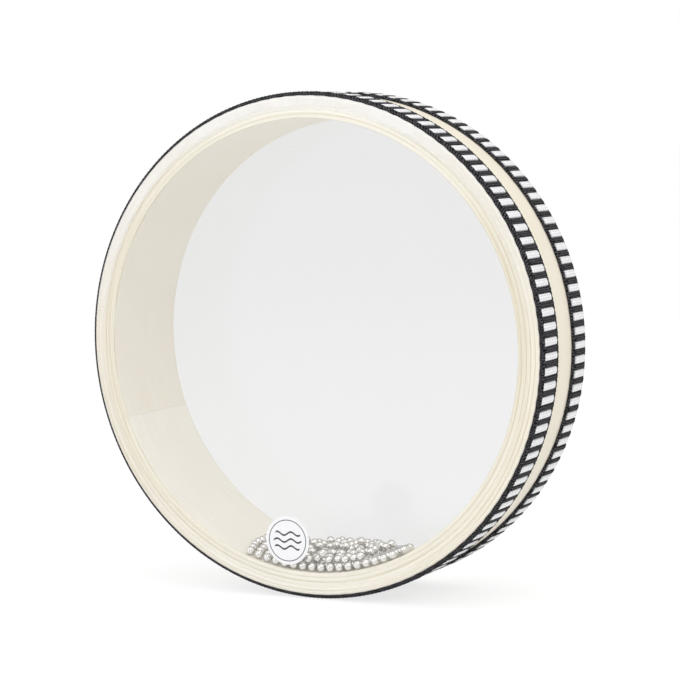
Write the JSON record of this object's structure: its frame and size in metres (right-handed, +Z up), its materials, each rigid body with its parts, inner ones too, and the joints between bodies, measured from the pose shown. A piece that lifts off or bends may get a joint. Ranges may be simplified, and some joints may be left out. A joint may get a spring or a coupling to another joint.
{
  "type": "ocean drum",
  "caption": "Round double-headed hand drum with clear film heads on a plywood hoop, woven ribbon trim, and loose steel beads that roll inside.",
  "frame": {"origin": "on the ground under the middle of the drum, which stands on its rim", "axes": "+Y along the drum's axis from the front head to the back head, +Z up, the front head with the sticker facing -Y"},
  "size_m": [0.2584, 0.0617, 0.2584],
  "materials": {
    "birch_ply": "bare sanded plywood, pale",
    "clear_film": "clear glossy polyester film",
    "black_weave": "woven ribbon ground, matt",
    "white_satin": "satin floats, soft sheen",
    "white_paper": "coated paper sticker, semi-gloss",
    "steel_bead": "polished steel balls"
  },
  "bodies": {
    "drum": {"inner_ply": "birch_ply", "second_ply": "birch_ply", "middle_ply": "birch_ply", "fourth_ply": "birch_ply", "outer_ply": "birch_ply", "front_head": "clear_film", "back_head": "clear_film", "front_ribbon": "black_weave", "front_ribbon_blocks": "white_satin", "back_ribbon": "black_weave", "back_ribbon_blocks": "white_satin", "sticker": "white_paper"},
    "back_floor_beads": {"back_floor_beads": "steel_bead"},
    "back_top_beads": {"back_top_beads": "steel_bead"},
    "mid_back_floor_beads": {"mid_back_floor_beads": "steel_bead"},
    "mid_back_top_beads": {"mid_back_top_beads": "steel_bead"},
    "mid_front_floor_beads": {"mid_front_floor_beads": "steel_bead"},
    "mid_front_top_beads": {"mid_front_top_beads": "steel_bead"},
    "front_floor_beads": {"front_floor_beads": "steel_bead"},
    "front_top_beads": {"front_top_beads": "steel_bead"}
  },
  "joints": [
    {"name": "back_beads_roll", "type": "hinge", "parent": "drum", "child": "back_floor_beads", "pos_m": [0, 0, 0.1292], "axis": [0, 1, 0], "continuous": true},
    {"name": "back_beads_wash", "type": "slide", "parent": "back_floor_beads", "child": "back_top_beads", "axis": [0, 0, 1], "range_m": [0, 0.21]},
    {"name": "mid_back_beads_roll", "type": "hinge", "parent": "drum", "child": "mid_back_floor_beads", "pos_m": [0, 0, 0.1292], "axis": [0, 1, 0], "continuous": true},
    {"name": "mid_back_beads_wash", "type": "slide", "parent": "mid_back_floor_beads", "child": "mid_back_top_beads", "axis": [0, 0, 1], "range_m": [0, 0.21]},
    {"name": "mid_front_beads_roll", "type": "hinge", "parent": "drum", "child": "mid_front_floor_beads", "pos_m": [0, 0, 0.1292], "axis": [0, 1, 0], "continuous": true},
    {"name": "mid_front_beads_wash", "type": "slide", "parent": "mid_front_floor_beads", "child": "mid_front_top_beads", "axis": [0, 0, 1], "range_m": [0, 0.21]},
    {"name": "front_beads_roll", "type": "hinge", "parent": "drum", "child": "front_floor_beads", "pos_m": [0, 0, 0.1292], "axis": [0, 1, 0], "continuous": true},
    {"name": "front_beads_wash", "type": "slide", "parent": "front_floor_beads", "child": "front_top_beads", "axis": [0, 0, 1], "range_m": [0, 0.21]}
  ]
}
